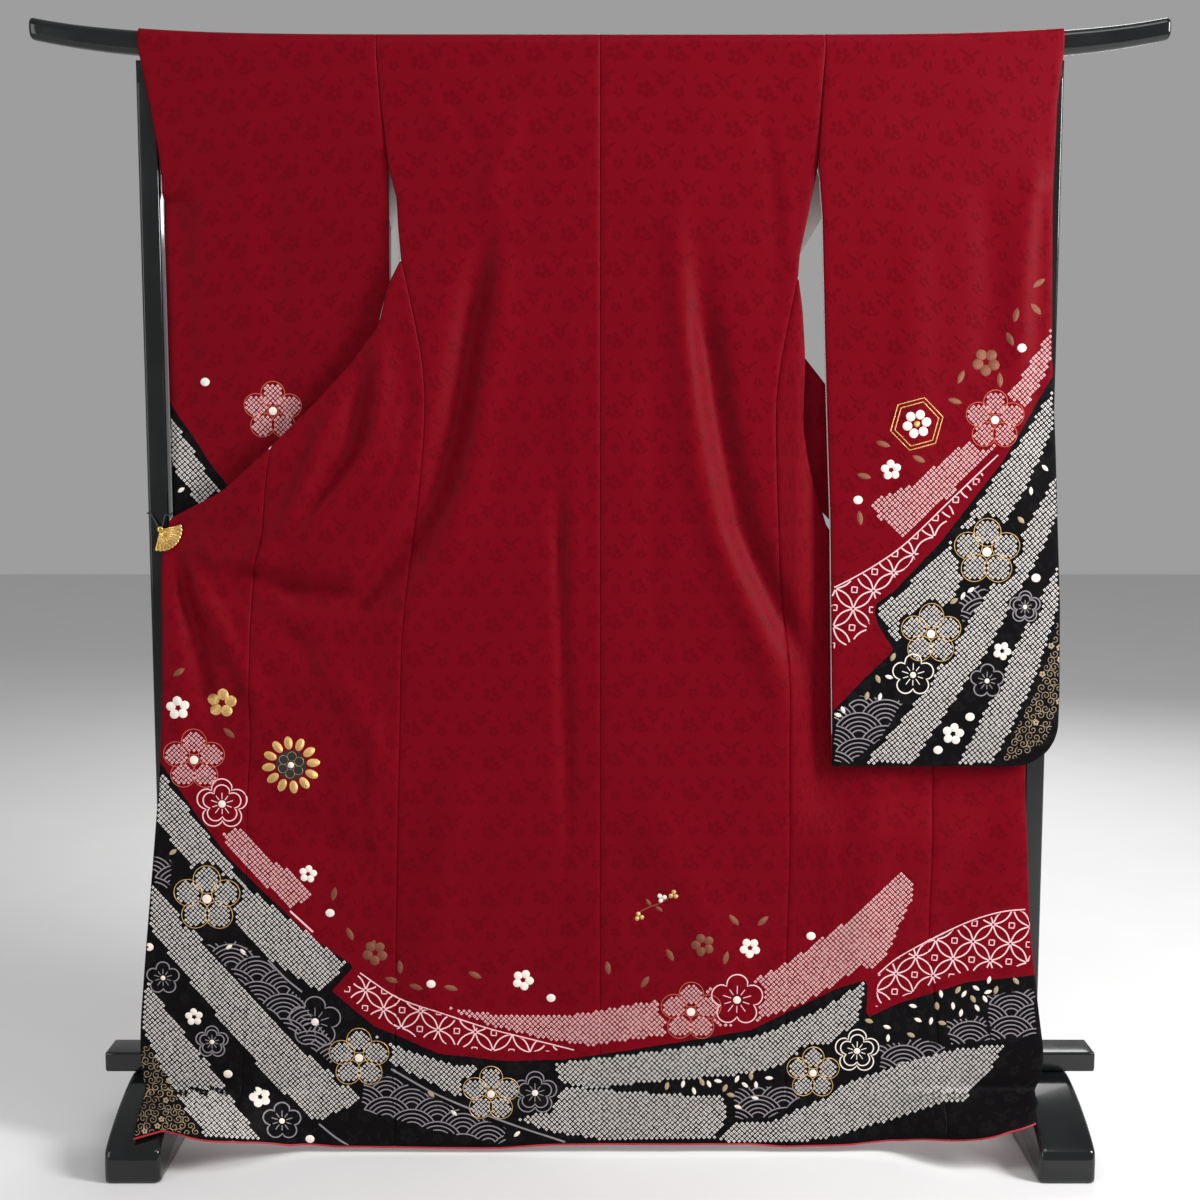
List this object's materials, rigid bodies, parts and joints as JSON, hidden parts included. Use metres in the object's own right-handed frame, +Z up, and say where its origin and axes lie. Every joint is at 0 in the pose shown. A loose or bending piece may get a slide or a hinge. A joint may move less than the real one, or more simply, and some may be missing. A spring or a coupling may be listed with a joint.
{
  "type": "furisode kimono on a lacquered display stand",
  "caption": "Long-sleeved formal kimono hung back outwards over the bar of a lacquered stand, one front panel drawn aside by a clip.",
  "frame": {"origin": "on the floor under the middle of the stand's bounding box", "axes": "+Z up, X along the stand's bar, -Y towards the viewer who faces the garment's back"},
  "size_m": [1.668, 0.39, 1.6953],
  "materials": {
    "silk": "deep red figured silk damask with black and white tie-dye pattern on the hem and sleeves",
    "lining": "plain red silk lining rolled at the hem",
    "lacquer": "glossy black lacquer on wood",
    "gilt": "polished gold-coloured metal",
    "cord": "thin black round cord"
  },
  "bodies": {
    "root": {"back_left": "silk", "back_right": "silk", "front_left": "silk", "okumi_left": "silk", "front_right": "silk", "okumi_right": "silk", "front_left_upper": "silk", "front_right_upper": "silk", "collar_left": "silk", "collar_right": "silk", "over_collar": "silk", "sleeve_left_back": "silk", "sleeve_left_front": "silk", "sleeve_right_back": "silk", "sleeve_right_front": "silk", "hem_roll": "lining", "top_bar": "lacquer", "post_left": "lacquer", "post_right": "lacquer", "rail": "lacquer", "foot_left": "lacquer", "foot_right": "lacquer", "clip_left": "gilt", "clip_right": "gilt", "cord_left": "cord", "cord_right": "cord"}
  },
  "joints": []
}
